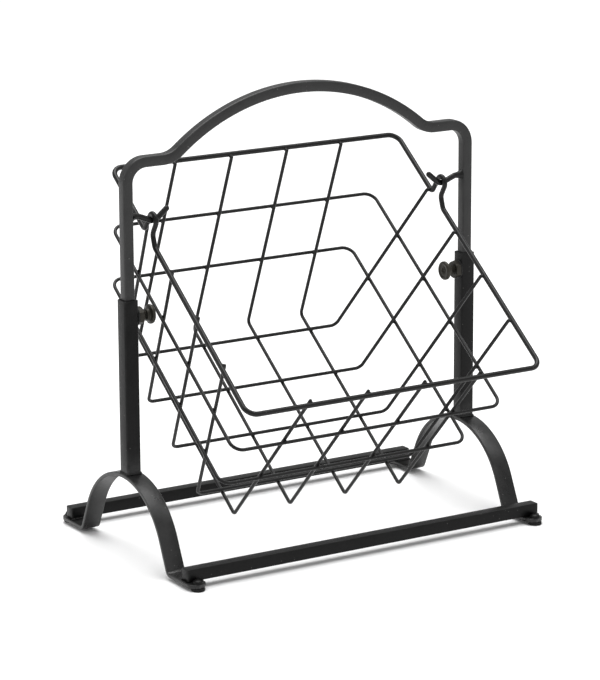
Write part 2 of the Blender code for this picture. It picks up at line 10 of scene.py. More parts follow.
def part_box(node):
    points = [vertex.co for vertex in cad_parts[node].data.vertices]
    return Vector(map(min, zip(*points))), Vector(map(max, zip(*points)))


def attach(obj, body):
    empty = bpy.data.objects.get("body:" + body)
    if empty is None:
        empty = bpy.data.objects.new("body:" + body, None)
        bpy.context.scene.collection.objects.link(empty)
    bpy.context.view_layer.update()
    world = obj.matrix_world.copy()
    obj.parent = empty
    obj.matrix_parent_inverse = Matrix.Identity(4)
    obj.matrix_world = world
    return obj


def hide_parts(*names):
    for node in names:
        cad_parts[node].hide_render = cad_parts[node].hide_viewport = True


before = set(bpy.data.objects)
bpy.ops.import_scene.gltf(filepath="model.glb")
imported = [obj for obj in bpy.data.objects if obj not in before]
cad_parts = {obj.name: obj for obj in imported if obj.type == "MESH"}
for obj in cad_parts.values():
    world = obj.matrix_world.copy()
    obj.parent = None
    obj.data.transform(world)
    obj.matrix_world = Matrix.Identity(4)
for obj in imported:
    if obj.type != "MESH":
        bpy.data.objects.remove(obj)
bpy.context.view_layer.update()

MM = 0.001

# Places read from the frame
SLEEVE_LOW, SLEEVE_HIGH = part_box("right_post_sleeve")
POST_X = (SLEEVE_LOW.x + SLEEVE_HIGH.x) / 2
POST_Y = (SLEEVE_LOW.y + SLEEVE_HIGH.y) / 2
SLEEVE_SIZE = SLEEVE_HIGH.x - SLEEVE_LOW.x
HANDLE_LOW, HANDLE_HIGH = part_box("bent_handle")
TUBE_SIZE = HANDLE_HIGH.y - HANDLE_LOW.y
RAIL_LOW, RAIL_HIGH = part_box("front_rail")
RAIL_SIZE = RAIL_HIGH.y - RAIL_LOW.y
RAIL_REACH = POST_Y - (RAIL_LOW.y + RAIL_HIGH.y) / 2
ARCH_LOW, ARCH_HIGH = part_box("right_leg_arch")
STRIP_WIDTH = ARCH_HIGH.x - ARCH_LOW.x
GLIDE_LOW, GLIDE_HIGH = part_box("front_right_foot_glide")
SCREW_REACH = POST_Y - (GLIDE_LOW.y + GLIDE_HIGH.y) / 2
GLIDE_RADIUS = (GLIDE_HIGH.x - GLIDE_LOW.x) / 2
GLIDE_TOP = GLIDE_HIGH.z
NUT_LOW, NUT_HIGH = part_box("right_clamp_nut")
STUD_LOW, STUD_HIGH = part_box("right_clamp_stud")
KNOB_LOW, KNOB_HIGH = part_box("right_clamp_knob")
CLAMP_Z = (STUD_LOW.z + STUD_HIGH.z) / 2
STUD_RADIUS = (STUD_HIGH.z - STUD_LOW.z) / 2
RIM_LOW, RIM_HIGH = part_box("basket_rim")

# Gap that the frame keeps between pieces that are welded or screwed together
JOINT_GAP = 0.3 * MM

# Strip, tube and wall sizes
STRIP_THICKNESS = 4.0 * MM
STRIP_EDGE = 0.7 * MM
ARCH_RADIUS = 86.0 * MM
ARCH_HALF_ANGLE = 65.0
LEG_BEND_RADIUS = 7.0 * MM
SLEEVE_WALL = 1.5 * MM
SLEEVE_CORNER = 1.9 * MM
SLEEVE_LIP = 0.5 * MM
RAIL_EDGE = 1.1 * MM
TUBE_CORNER = 1.7 * MM
SHOULDER_TOP = 411.0 * MM
SHOULDER_RADIUS = 21.0 * MM
DIP_RADIUS = 30.0 * MM
DIP_FROM_POST = 41.0 * MM
SCREW_HEAD_RADIUS = 5.4 * MM
SCREW_HEAD_HEIGHT = 4.2 * MM
SCREW_HEAD_BAND = 0.28          # share of the head's height that is upright

# Clamp nuts and studs
NUT_SIDES = 60
NUT_CHAMFER = 1.0 * MM
NUT_CORNER_TRIM = 0.985         # share of the corner radius left along the sides
NUT_FACE_ROUND = 1.02           # outer face's radius over half the width across flats
NUT_BORE_PLAY = 0.2 * MM
THREAD_PITCH = 1.5 * MM
THREAD_DEPTH = 0.8 * MM
THREAD_CREST = 0.08             # half the flat crest, as a share of the pitch
THREAD_ROOT = 0.44              # crest middle to root, as a share of the pitch

# Radii of the weld beads, and how far they sit in from an edge
SLEEVE_WELD = 1.3 * MM
RAIL_WELD = 1.5 * MM
RAIL_SIDE_WELD = 1.0 * MM
NUT_WELD = 1.1 * MM
HOOK_WELD = 1.0 * MM
WELD_SINK = 0.1 * MM
BEAD_SIDES = 10
SPOT_SIDES = 12
SPOT_STRETCH = 1.35
SPOT_INSET = 0.15 * MM

# Where the painted highlight starts to show on an edge and where it is full
EDGE_HIGHLIGHT_SPAN = (0.518, 0.6)
FINE_EDGE_HIGHLIGHT_SPAN = (0.53, 0.64)

# Hook rods
HOOK_RADIUS = 3.0 * MM
HOOK_HEIGHT = 344.5 * MM
HOOK_ROOT_RISE = 6.0 * MM
HOOK_BEND_RADIUS = 9.0 * MM
HOOK_ROOT_BEND = 20.0 * MM
HOOK_ROOT_ANGLE = 22.0
HOOK_TIP_ANGLE = 40.0
HOOK_TIP_REACH = 18.0 * MM
HOOK_FLARE = 1.9
HOOK_FLARE_LENGTH = 8.0 * MM

# Basket, measured from the rim's middle with the rim flat
RIM_RADIUS = 2.7 * MM
WIRE_RADIUS = 1.65 * MM
WIRE_COAT = 0.2 * MM            # paint build-up, which closes the gaps where wires cross
CORNER = 12.0 * MM
BASKET_DROP = 212.0 * MM
RING_DROPS = {"basket_ring_upper": 70.0 * MM, "basket_ring_lower": 136.0 * MM}
BOTTOM_HALF_LENGTH = 131.0 * MM
BOTTOM_REAR = 110.0 * MM
BOTTOM_FRONT = 133.0 * MM
CROSS_SPACING = 67.0 * MM
LONG_SPACING = 62.5 * MM
LONG_MIDDLE = -9.0 * MM
REAR_BEND = 6.0 * MM
FRONT_BEND = 4.0 * MM
END_BEND = 8.0 * MM
REAR_TIP = 2.0 * MM
FRONT_TIP = 3.0 * MM
LONG_TIP = 1.5 * MM
EYE_BACK = 75.0 * MM
EYE_UP = 20.0 * MM
EYE_HALF = HOOK_RADIUS + 0.8 * MM + RIM_RADIUS
EYE_FOOT = 3.5 * MM
EYE_LEAN = 1.4 * MM
EYE_LEAN_SHARE = 0.4            # height where the eye leans most, as a share of EYE_UP
EYE_RUN_OUT = 19.0 * MM
EYE_SWEEP = 8.0 * MM
HANG = RIM_RADIUS + WIRE_RADIUS + JOINT_GAP
CROSSING = 2 * WIRE_RADIUS + JOINT_GAP

ROUND_SIDES = 20
ARC_STEP = 5.0
DOME_STEPS = 4
FLARE_STEPS = 8
SAME_POINT = 0.05 * MM


# ---------------------------------------------------------------- paths

def bent(corners, closed=False):
    """Points along straight runs with a round bend at each (point, radius) corner."""
    path = []
    count = len(corners)
    for index, (place, radius) in enumerate(corners):
        place = Vector(place)
        if radius == 0.0 or (not closed and index in (0, count - 1)):
            path.append(place)
            continue
        back = (Vector(corners[index - 1][0]) - place).normalized()
        ahead = (Vector(corners[(index + 1) % count][0]) - place).normalized()
        turn = math.pi - back.angle(ahead)
        centre = place + (back + ahead).normalized() * (radius / math.cos(turn / 2))
        start = place + back * (radius * math.tan(turn / 2)) - centre
        spin_axis = (-back).cross(ahead).normalized()
        steps = max(3, round(math.degrees(turn) / ARC_STEP))
        for step in range(steps + 1):
            path.append(centre + Matrix.Rotation(turn * step / steps, 3, spin_axis) @ start)
    return spaced(path, closed)


def spaced(path, closed=False):
    """The path without points that fall on the one before."""
    kept = [path[0]]
    for place in path[1:]:
        if (place - kept[-1]).length > SAME_POINT:
            kept.append(place)
    if closed and (kept[0] - kept[-1]).length < SAME_POINT:
        kept.pop()
    return kept


def arc(centre, radius, start, end, step):
    """(across, up) points on a circle; angles in degrees, clockwise from straight up."""
    count = max(3, round(abs(end - start) / step))
    turns = [math.radians(start + (end - start) * k / count) for k in range(count + 1)]
    return [(centre[0] + radius * math.sin(t), centre[1] + radius * math.cos(t)) for t in turns]


def round_outline(radius, sides=ROUND_SIDES):
    """Circle as (a, b) points."""
    turns = [2 * math.pi * k / sides for k in range(sides)]
    return [(radius * math.cos(t), radius * math.sin(t)) for t in turns]


def square_outline(half_a, half_b, corner, steps=4):
    """Rounded rectangle as (a, b) points."""
    points = []
    for quarter, (sign_a, sign_b) in enumerate(((1, 1), (-1, 1), (-1, -1), (1, -1))):
        for step in range(steps + 1):
            turn = math.radians(90.0 * quarter + 90.0 * step / steps)
            points.append((sign_a * (half_a - corner) + corner * math.cos(turn),
                           sign_b * (half_b - corner) + corner * math.sin(turn)))
    return points


# ---------------------------------------------------------------- solids

def swept(path, outlines, normal, closed=False):
    """Vertices and faces of a bar along a path, with one (a, b) outline for each point.

    a lies along the normal, carried along the path without twisting."""
    count = len(path)
    sides = len(outlines[0])
    verts = []
    normal = Vector(normal)
    for index, here in enumerate(path):
        before = path[index - 1] if closed or index else here
        after = path[(index + 1) % count] if closed or index < count - 1 else here
        along = ((after - here).normalized() + (here - before).normalized()).normalized()
        normal = (normal - along * normal.dot(along)).normalized()
        across = along.cross(normal)
        verts += [here + normal * a + across * b for a, b in outlines[index]]
    faces = []
    for ring in range(count if closed else count - 1):
        low = ring * sides
        high = ((ring + 1) % count) * sides
        for k in range(sides):
            nxt = (k + 1) % sides
            faces.append((low + k, low + nxt, high + nxt, high + k))
    if not closed:
        faces.append(tuple(reversed(range(sides))))
        faces.append(tuple(range((count - 1) * sides, count * sides)))
    return verts, faces


def dome_at(end, outward, radius):
    """Middles and radii of the rings that round off a rod's end, from the rod outward."""
    turns = [math.pi / 2 * k / DOME_STEPS for k in range(DOME_STEPS)]
    return [(end + outward * (radius * (math.sin(turn) - 1)), radius * math.cos(turn))
            for turn in turns]


def domed_rod(path, radius, normal, flare=1.0, flare_length=0.0):
    """Round rod with a domed far end; its near end is domed too, or flares out to a weld."""
    leaving = (path[1] - path[0]).normalized()
    arriving = (path[-1] - path[-2]).normalized()
    if flare > 1.0:
        shares = [k / FLARE_STEPS for k in range(FLARE_STEPS + 1)]
        rings = [(path[0] + leaving * (flare_length * share),
                  radius * (1 + (flare - 1) * (1 - share) ** 2.5)) for share in shares]
    else:
        rings = dome_at(path[0], -leaving, radius)[::-1]
    rings += [(place, radius) for place in path[1:-1]
              if (place - path[0]).length > flare_length + SAME_POINT]
    rings += dome_at(path[-1], arriving, radius)
    return swept([place for place, _ in rings], [round_outline(size) for _, size in rings],
                 normal)


def turned(profile, centre, axis, sides=48):
    """Solid of revolution from (radius, height) points; height runs along the axis."""
    axis = Vector(axis).normalized()
    spread = axis.orthogonal().normalized()
    path = [Vector(centre) + axis * height for _, height in profile]
    third = axis.cross(spread)
    verts = []
    for (radius, _), place in zip(profile, path):
        verts += [place + spread * a + third * b for a, b in round_outline(radius, sides)]
    faces = []
    for ring in range(len(profile) - 1):
        for k in range(sides):
            nxt = (k + 1) % sides
            faces.append((ring * sides + k, ring * sides + nxt,
                          (ring + 1) * sides + nxt, (ring + 1) * sides + k))
    faces.append(tuple(reversed(range(sides))))
    faces.append(tuple(range((len(profile) - 1) * sides, len(profile) * sides)))
    return verts, faces


def weld_bead(path, radius, normal, seed, closed=False, ripple=1.6 * MM):
    """Hand-laid weld: a lumpy bead with overlapping ripples along a path."""
    chance = random.Random(seed)
    places = []
    for index in range(len(path) if closed else len(path) - 1):
        here, there = path[index], path[(index + 1) % len(path)]
        steps = max(1, round((there - here).length / (ripple / 4)))
        places += [here.lerp(there, step / steps) for step in range(steps)]
    if not closed:
        places.append(path[-1])
    outlines = []
    travelled = 0.0
    swell = 1.0
    for index, place in enumerate(places):
        if index:
            travelled += (place - places[index - 1]).length
        if index % 4 == 0:
            swell = 1.0 + chance.uniform(-0.12, 0.12)
        wave = 0.86 + 0.14 * abs(math.sin(math.pi * travelled / ripple))
        ends = 1.0 if closed else min(1.0, 0.45 + 3.0 * min(index, len(places) - 1 - index)
                                      / len(places))
        outlines.append(round_outline(radius * wave * swell * ends, BEAD_SIDES))
    return swept(places, outlines, normal, closed)


def joined(solids):
    """Several (vertices, faces) solids as one."""
    verts = []
    faces = []
    for more_verts, more_faces in solids:
        start = len(verts)
        verts += more_verts
        faces += [tuple(start + k for k in face) for face in more_faces]
    return verts, faces


def add_piece(name, solid, material, body, replaces=(), sharp=35.0):
    """Put a solid in the scene as a piece that rides on a body."""
    verts, faces = solid
    name = name.replace(" ", "-")
    mesh = bpy.data.meshes.new(name)
    mesh.from_pydata([tuple(v) for v in verts], [], faces)
    mesh.validate()
    mesh.shade_smooth()
    mesh.set_sharp_from_angle(angle=math.radians(sharp))
    piece = bpy.data.objects.new(name, mesh)
    piece.data.materials.append(material)
    bpy.context.scene.collection.objects.link(piece)
    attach(piece, body)
    if replaces:
        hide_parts(*replaces)
    return piece


# ---------------------------------------------------------------- shared paint effects

def new_group(name, inputs, outputs):
    group = bpy.data.node_groups.new(name, "ShaderNodeTree")
    for label, kind, value in inputs:
        socket = group.interface.new_socket(label, in_out="INPUT", socket_type=kind)
        socket.default_value = value
    for label, kind in outputs:
        group.interface.new_socket(label, in_out="OUTPUT", socket_type=kind)
    return group, group.nodes.new("NodeGroupInput"), group.nodes.new("NodeGroupOutput")


def add_node(tree, kind, links=(), **settings):
    """New node; settings are its properties, links are (input name, source) pairs."""
    node = tree.nodes.new(kind)
    for key, value in settings.items():
        setattr(node, key, value)
    for label, source in links:
        if isinstance(source, bpy.types.NodeSocket):
            tree.links.new(source, node.inputs[label])
        else:
            node.inputs[label].default_value = source
    return node


def spread(tree, value, low, high, out_low, out_high):
    """Map a value from one range to another, kept inside it."""
    node = add_node(tree, "ShaderNodeMapRange",
                    [("Value", value), ("From Min", low), ("From Max", high),
                     ("To Min", out_low), ("To Max", out_high)])
    return node.outputs["Result"]


def paint_grain_group():
    """Orange peel and fine grit of a sprayed coat: a height and a cloudy mask."""
    group, given, result = new_group(
        "paint grain",
        [("Peel Scale", "NodeSocketFloat", 500.0), ("Grit Scale", "NodeSocketFloat", 2400.0),
         ("Grit Share", "NodeSocketFloat", 0.5)],
        [("Height", "NodeSocketFloat"), ("Cloud", "NodeSocketFloat")])
    place = add_node(group, "ShaderNodeTexCoord").outputs["Object"]
    peel = add_node(group, "ShaderNodeTexNoise",
                    [("Vector", place), ("Scale", given.outputs["Peel Scale"]),
                     ("Detail", 2.0), ("Roughness", 0.5)])
    grit = add_node(group, "ShaderNodeTexNoise",
                    [("Vector", place), ("Scale", given.outputs["Grit Scale"]),
                     ("Detail", 1.0), ("Roughness", 0.6)])
    gritty = add_node(group, "ShaderNodeMath",
                      [(0, grit.outputs["Fac"]), (1, given.outputs["Grit Share"])],
                      operation="MULTIPLY")
    height = add_node(group, "ShaderNodeMath",
                      [(0, peel.outputs["Fac"]), (1, gritty.outputs[0])], operation="ADD")
    cloud = add_node(group, "ShaderNodeTexNoise",
                     [("Vector", place), ("Scale", 45.0), ("Detail", 4.0), ("Roughness", 0.62)])
    group.links.new(height.outputs[0], result.inputs["Height"])
    group.links.new(spread(group, cloud.outputs["Fac"], 0.3, 0.7, 0.0, 1.0),
                    result.inputs["Cloud"])
    return group


def edge_highlight_group():
    """Mask of the edges and corners that are painted lighter, a painted highlight standing in for
    light catching them.
    """
    group, given, result = new_group(
        "painted edge highlight",
        [("Start", "NodeSocketFloat", 0.52), ("Full", "NodeSocketFloat", 0.62),
         ("Patch Scale", "NodeSocketFloat", 90.0)],
        [("Mask", "NodeSocketFloat")])
    point = add_node(group, "ShaderNodeNewGeometry").outputs["Pointiness"]
    edge = add_node(group, "ShaderNodeMapRange",
                    [("Value", point), ("From Min", given.outputs["Start"]),
                     ("From Max", given.outputs["Full"])])
    place = add_node(group, "ShaderNodeTexCoord").outputs["Object"]
    patch = add_node(group, "ShaderNodeTexNoise",
                     [("Vector", place), ("Scale", given.outputs["Patch Scale"]),
                      ("Detail", 3.0), ("Roughness", 0.6)])
    kept = spread(group, patch.outputs["Fac"], 0.38, 0.62, 0.35, 1.0)
    mask = add_node(group, "ShaderNodeMath", [(0, edge.outputs["Result"]), (1, kept)],
                    operation="MULTIPLY")
    group.links.new(mask.outputs[0], result.inputs["Mask"])
    return group


def speck_group():
    """Mask of stray dust specks and pin-head nibs in the coat."""
    group, given, result = new_group(
        "dust specks",
        [("Scale", "NodeSocketFloat", 260.0), ("Size", "NodeSocketFloat", 0.16),
         ("Share", "NodeSocketFloat", 0.12)],
        [("Mask", "NodeSocketFloat")])
    place = add_node(group, "ShaderNodeTexCoord").outputs["Object"]
    cells = add_node(group, "ShaderNodeTexVoronoi",
                     [("Vector", place), ("Scale", given.outputs["Scale"])])
    near = add_node(group, "ShaderNodeMath",
                    [(0, cells.outputs["Distance"]), (1, given.outputs["Size"])],
                    operation="LESS_THAN")
    shade = add_node(group, "ShaderNodeSeparateColor", [("Color", cells.outputs["Color"])])
    chosen = add_node(group, "ShaderNodeMath",
                      [(0, shade.outputs["Red"]), (1, given.outputs["Share"])],
                      operation="LESS_THAN")
    mask = add_node(group, "ShaderNodeMath", [(0, near.outputs[0]), (1, chosen.outputs[0])],
                    operation="MULTIPLY")
    group.links.new(mask.outputs[0], result.inputs["Mask"])
    return group


GRAIN = paint_grain_group()
# Mask for the painted edge highlight (lighter colour on edges, not wear)
EDGE_HIGHLIGHT = edge_highlight_group()
SPECKS = speck_group()


def place_group(tree, group, **values):
    node = tree.nodes.new("ShaderNodeGroup")
    node.node_tree = group
    for label, value in values.items():
        node.inputs[label.replace("_", " ")].default_value = value
    return node


def mixed(tree, mask, first, second):
    """Colour that goes from first to second as the mask goes from 0 to 1."""
    node = add_node(tree, "ShaderNodeMix", data_type="RGBA")
    for socket, source in ((node.inputs[0], mask), (node.inputs[6], first),
                           (node.inputs[7], second)):
        if isinstance(source, bpy.types.NodeSocket):
            tree.links.new(source, socket)
        else:
            socket.default_value = source if isinstance(source, float) else (*source, 1.0)
    return node.outputs[2]


def coat(name, colour, cloud_colour, edge_highlight_colour, speck, smooth, rough, metallic=0.0, bump=0.25,
         depth=0.06 * MM, peel=500.0, grit=2400.0, grit_share=0.5,
         edge=FINE_EDGE_HIGHLIGHT_SPAN, speck_share=0.12, shine=0.22):
    """Sprayed or plated finish: cloudy colour, lighter edges as a painted highlight, specks and a
    fine grain.
    """
    material = bpy.data.materials.new(name)
    material.use_nodes = True
    tree = material.node_tree
    shader = tree.nodes["Principled BSDF"]
    shader.inputs["Metallic"].default_value = metallic
    shader.inputs["Specular IOR Level"].default_value = shine
    grain = place_group(tree, GRAIN, Peel_Scale=peel, Grit_Scale=grit, Grit_Share=grit_share)
    # Edges and corners get a lighter colour: a painted highlight, not wear
    edge_shine = place_group(tree, EDGE_HIGHLIGHT, Start=edge[0], Full=edge[1])
    dust = place_group(tree, SPECKS, Share=speck_share)
    cloudy = mixed(tree, grain.outputs["Cloud"], colour, cloud_colour)
    # Mix in the painted edge highlight colour along the edge mask
    with_highlight = mixed(tree, edge_shine.outputs["Mask"], cloudy, edge_highlight_colour)
    dusty = mixed(tree, dust.outputs["Mask"], with_highlight, speck)
    tree.links.new(dusty, shader.inputs["Base Color"])
    tree.links.new(spread(tree, grain.outputs["Cloud"], 0.0, 1.0, smooth, rough),
                   shader.inputs["Roughness"])
    relief = add_node(tree, "ShaderNodeBump",
                      [("Strength", bump), ("Distance", depth),
                       ("Height", grain.outputs["Height"])])
    tree.links.new(relief.outputs["Normal"], shader.inputs["Normal"])
    return material


def make_finishes():
    # In each coat the third colour is the painted edge highlight; the fourth is dust specks
    return {
        "tube": coat("black satin coat on bent tube", (0.011, 0.011, 0.011),
                     (0.020, 0.020, 0.020), (0.06, 0.06, 0.06), (0.09, 0.09, 0.087),
                     0.32, 0.48, bump=0.6, depth=0.22 * MM, edge=EDGE_HIGHLIGHT_SPAN, shine=0.4),
        "frame": coat("black satin coat on square stock", (0.002, 0.002, 0.002),
                      (0.005, 0.005, 0.005), (0.045, 0.045, 0.045), (0.05, 0.05, 0.048),
                      0.28, 0.44, bump=0.6, depth=0.22 * MM, edge=EDGE_HIGHLIGHT_SPAN, shine=0.15),
        "strip": coat("black satin coat on flat bar", (0.0045, 0.0045, 0.0045),
                      (0.010, 0.010, 0.010), (0.06, 0.06, 0.06), (0.06, 0.06, 0.058),
                      0.24, 0.40, bump=0.55, depth=0.2 * MM, edge=EDGE_HIGHLIGHT_SPAN, shine=0.38),
        "wire": coat("black satin coat on wire", (0.0035, 0.0035, 0.0035),
                     (0.0075, 0.0075, 0.0075), (0.011, 0.011, 0.011), (0.04, 0.04, 0.038),
                     0.24, 0.38, bump=0.3, depth=0.05 * MM, peel=700.0, shine=0.26),
        "weld": coat("black coat over weld", (0.004, 0.004, 0.004), (0.009, 0.009, 0.009),
                     (0.02, 0.02, 0.02), (0.05, 0.05, 0.048), 0.32, 0.48, bump=0.5,
                     depth=0.12 * MM, peel=900.0, shine=0.2),
        "screw": coat("dark bronze plating", (0.016, 0.0145, 0.011), (0.030, 0.027, 0.021),
                      (0.08, 0.075, 0.062), (0.05, 0.05, 0.045), 0.32, 0.48, metallic=0.5,
                      bump=0.5, depth=0.08 * MM, peel=900.0, edge=EDGE_HIGHLIGHT_SPAN, shine=0.4),
        "glide": coat("matt black moulded glide", (0.004, 0.004, 0.004), (0.008, 0.008, 0.0078),
                      (0.014, 0.014, 0.0137), (0.03, 0.03, 0.029), 0.7, 0.85, bump=0.3,
                      depth=0.08 * MM, peel=1100.0, shine=0.25),
    }


# ---------------------------------------------------------------- base

def side_words():
    return ((-1, "left"), (1, "right"))


def arch_path():
    """Middle line of an arch from the rear tab's end to the front tab's, as (y, z)."""
    middle_z = GLIDE_TOP + JOINT_GAP + STRIP_THICKNESS / 2
    radius = ARCH_RADIUS - STRIP_THICKNESS / 2
    centre_z = ARCH_HIGH.z - ARCH_RADIUS
    crown = arc((0.0, centre_z), radius, ARCH_HALF_ANGLE, -ARCH_HALF_ANGLE, 2.5)
    leave_y, leave_z = crown[0]
    knee_y = leave_y + (leave_z - middle_z) / math.tan(math.radians(ARCH_HALF_ANGLE))
    end_y = (ARCH_HIGH.y - ARCH_LOW.y) / 2
    foot = bent([((end_y, middle_z, 0.0), 0.0), ((knee_y, middle_z, 0.0), LEG_BEND_RADIUS),
                 ((leave_y, leave_z, 0.0), 0.0)])
    rear = [(place.x, place.y) for place in foot[1:-1]]
    front = [(-y, z) for y, z in reversed(rear)]
    half = STRIP_WIDTH / 2
    turns = [math.radians(4.0 + 86.0 * k / 9) for k in range(10)]
    tip = [(end_y - half * (1 - math.cos(turn)), middle_z) for turn in turns]
    tip_widths = [half * math.sin(turn) for turn in turns]
    points = tip + rear + crown + front + [(-y, z) for y, z in reversed(tip)]
    widths = tip_widths + [half] * (len(points) - 2 * len(tip)) + tip_widths[::-1]
    return points, widths


def add_arch(side, word, finish):
    points, widths = arch_path()
    path = [Vector((side * POST_X, POST_Y + y, z)) for y, z in points]
    outlines = []
    for width in widths:
        edge = min(STRIP_EDGE, 0.6 * width)
        outlines.append(square_outline(STRIP_THICKNESS / 2, width, edge, 3))
    add_piece(f"{word} leg arch", swept(path, outlines, (0, 0, 1)), finish["strip"],
              "stand_base", [f"{word}_leg_arch"])


def add_rail(word, finish):
    low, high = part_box(f"{word}_rail")
    half = RAIL_SIZE / 2
    ends = (low.x, low.x + 0.35 * MM, low.x + RAIL_EDGE, low.x + 2.5 * RAIL_EDGE)
    shrink = (RAIL_EDGE * 0.9, RAIL_EDGE * 0.3, 0.0, 0.0)
    stations = [(x, s) for x, s in zip(ends, shrink)]
    inside = [(low.x + (high.x - low.x) * k / 24, 0.0) for k in range(1, 24)]
    stations += inside + [(-x, s) for x, s in reversed(stations)]
    middle = (low + high) / 2
    path = [Vector((x, middle.y, middle.z)) for x, _ in stations]
    outlines = [square_outline(half - s, half - s, RAIL_EDGE, 4) for _, s in stations]
    add_piece(f"{word} floor rail", swept(path, outlines, (0, 0, 1)), finish["frame"],
              "stand_base", [f"{word}_rail"])


def add_sleeve(side, word, finish):
    """Square tube with a softened mouth; the bore is open."""
    half = SLEEVE_SIZE / 2
    bore = half - SLEEVE_WALL
    top = SLEEVE_HIGH.z
    bottom = SLEEVE_LOW.z
    rings = [(half, SLEEVE_CORNER, bottom)]
    rings += [(half, SLEEVE_CORNER, bottom + (top - bottom) * k / 12) for k in range(1, 12)]
    for k in range(5):
        turn = math.pi / 2 * k / 4
        rings.append((half - SLEEVE_LIP * (1 - math.cos(turn)), SLEEVE_CORNER,
                      top - SLEEVE_LIP * (1 - math.sin(turn))))
    for k in range(5):
        turn = math.pi / 2 * k / 4
        rings.append((bore + SLEEVE_LIP * (1 - math.sin(turn)), SLEEVE_CORNER / 2,
                      top - SLEEVE_LIP * (1 - math.cos(turn))))
    rings.append((bore, SLEEVE_CORNER / 2, bottom))
    verts = []
    for size, corner, z in rings:
        verts += [Vector((side * POST_X + a, POST_Y + b, z))
                  for a, b in square_outline(size, size, corner)]
    sides = len(verts) // len(rings)
    faces = []
    for ring in range(len(rings)):
        after = (ring + 1) % len(rings)
        for k in range(sides):
            nxt = (k + 1) % sides
            faces.append((ring * sides + k, ring * sides + nxt,
                          after * sides + nxt, after * sides + k))
    add_piece(f"{word} post sleeve", (verts, faces), finish["frame"], "stand_base",
              [f"{word}_post_sleeve"])


def add_base_welds(side, word, finish):
    """Beads round the sleeve's foot and along the rails' inner edges on the tabs."""
    x = side * POST_X
    half = SLEEVE_SIZE / 2
    foot = [Vector((x + a, POST_Y + b, SLEEVE_LOW.z + WELD_SINK))
            for a, b in square_outline(half, half, SLEEVE_CORNER)]
    solids = [weld_bead(foot, SLEEVE_WELD, (1, 0, 0), 11 + side, closed=True)]
    for end in (-1, 1):
        y = POST_Y + end * (RAIL_REACH - RAIL_SIZE / 2)
        line = [Vector((x + offset, y, RAIL_LOW.z - WELD_SINK))
                for offset in (-STRIP_WIDTH * 0.44, 0.0, STRIP_WIDTH * 0.44)]
        solids.append(weld_bead(line, RAIL_WELD, (0, 0, 1), 31 + 7 * side + end))
        for edge in (-1, 1):
            side_x = x + edge * STRIP_WIDTH * 0.49
            short = [Vector((side_x, y + end * along, RAIL_LOW.z - WELD_SINK))
                     for along in (1.0 * MM, RAIL_SIZE * 0.5, RAIL_SIZE - 1.0 * MM)]
            solids.append(weld_bead(short, RAIL_SIDE_WELD, (0, 0, 1),
                                    57 + 5 * side + 3 * end + edge))
    add_piece(f"{word} base welds", joined(solids), finish["weld"], "stand_base",
              sharp=60.0)


def add_foot(place, word, side, end, finish):
    """Moulded glide under the tab and the round-headed screw that holds it."""
    x = side * POST_X
    y = POST_Y + end * SCREW_REACH
    radius = GLIDE_RADIUS
    pad = [(radius * 0.5, 0.0), (radius - 1.0 * MM, 0.0), (radius - 0.35 * MM, 0.2 * MM),
           (radius, 0.8 * MM), (radius, GLIDE_TOP - 0.3 * MM), (radius - 0.3 * MM, GLIDE_TOP),
           (radius * 0.5, GLIDE_TOP)]
    add_piece(f"{place} {word} foot glide", turned(pad, (x, y, 0.0), (0, 0, 1)),
              finish["glide"], "stand_base", [f"{place}_{word}_foot_glide"])
    base = GLIDE_TOP + JOINT_GAP + STRIP_THICKNESS
    head = [(SCREW_HEAD_RADIUS + 0.5 * MM, 0.0), (SCREW_HEAD_RADIUS + 0.5 * MM, 0.35 * MM),
            (SCREW_HEAD_RADIUS, 0.45 * MM),
            (SCREW_HEAD_RADIUS, SCREW_HEAD_HEIGHT * SCREW_HEAD_BAND)]
    for k in range(1, 9):
        turn = math.pi / 2 * k / 9
        rise = SCREW_HEAD_BAND + (1 - SCREW_HEAD_BAND) * math.sin(turn)
        head.append((SCREW_HEAD_RADIUS * math.cos(turn), SCREW_HEAD_HEIGHT * rise))
    head.append((0.4 * MM, SCREW_HEAD_HEIGHT))
    add_piece(f"{place} {word} foot screw", turned(head, (x, y, base), (0, 0, 1), 40),
              finish["frame"], "stand_base",
              [f"{place}_{word}_foot_screw"])


# ---------------------------------------------------------------- clamp screws

def add_nut(side, word, finish):
    """Hexagonal weld nut with chamfered corners, a bead round its foot."""
    flat = NUT_HIGH.y - NUT_LOW.y
    length = NUT_HIGH.x - NUT_LOW.x
    root = NUT_HIGH.x
    bore = STUD_RADIUS + NUT_BORE_PLAY
    across = flat / math.sqrt(3.0) * NUT_CORNER_TRIM
    rings = ((0.0, bore), (0.0, across), (length - NUT_CHAMFER, across),
             (length, flat / 2 * NUT_FACE_ROUND), (length, bore))
    verts = []
    for depth, widest in rings:
        for k in range(NUT_SIDES):
            turn = 2 * math.pi * k / NUT_SIDES
            hexagon = (flat / 2) / math.cos((turn + math.pi / 6) % (math.pi / 3) - math.pi / 6)
            size = min(hexagon, widest)
            verts.append(Vector((side * (root - depth), POST_Y + size * math.cos(turn),
                                 CLAMP_Z + size * math.sin(turn))))
    faces = []
    for ring in range(len(rings)):
        after = (ring + 1) % len(rings)
        for k in range(NUT_SIDES):
            nxt = (k + 1) % NUT_SIDES
            quad = (ring * NUT_SIDES + k, ring * NUT_SIDES + nxt,
                    after * NUT_SIDES + nxt, after * NUT_SIDES + k)
            faces.append(quad if side > 0 else tuple(reversed(quad)))
    add_piece(f"{word} clamp nut", (verts, faces), finish["screw"], "stand_base",
              [f"{word}_clamp_nut"], sharp=25.0)
    ring = [Vector((side * (root - 0.2 * MM), POST_Y + a, CLAMP_Z + b))
            for a, b in round_outline(flat / 2 + 0.4 * MM, 48)]
    for place in ring:
        place.y = min(max(place.y, POST_Y - SLEEVE_SIZE / 2), POST_Y + SLEEVE_SIZE / 2)
    add_piece(f"{word} nut weld",
              weld_bead(ring, NUT_WELD, (1, 0, 0), 71 + side, closed=True), finish["weld"],
              "stand_base", sharp=60.0)


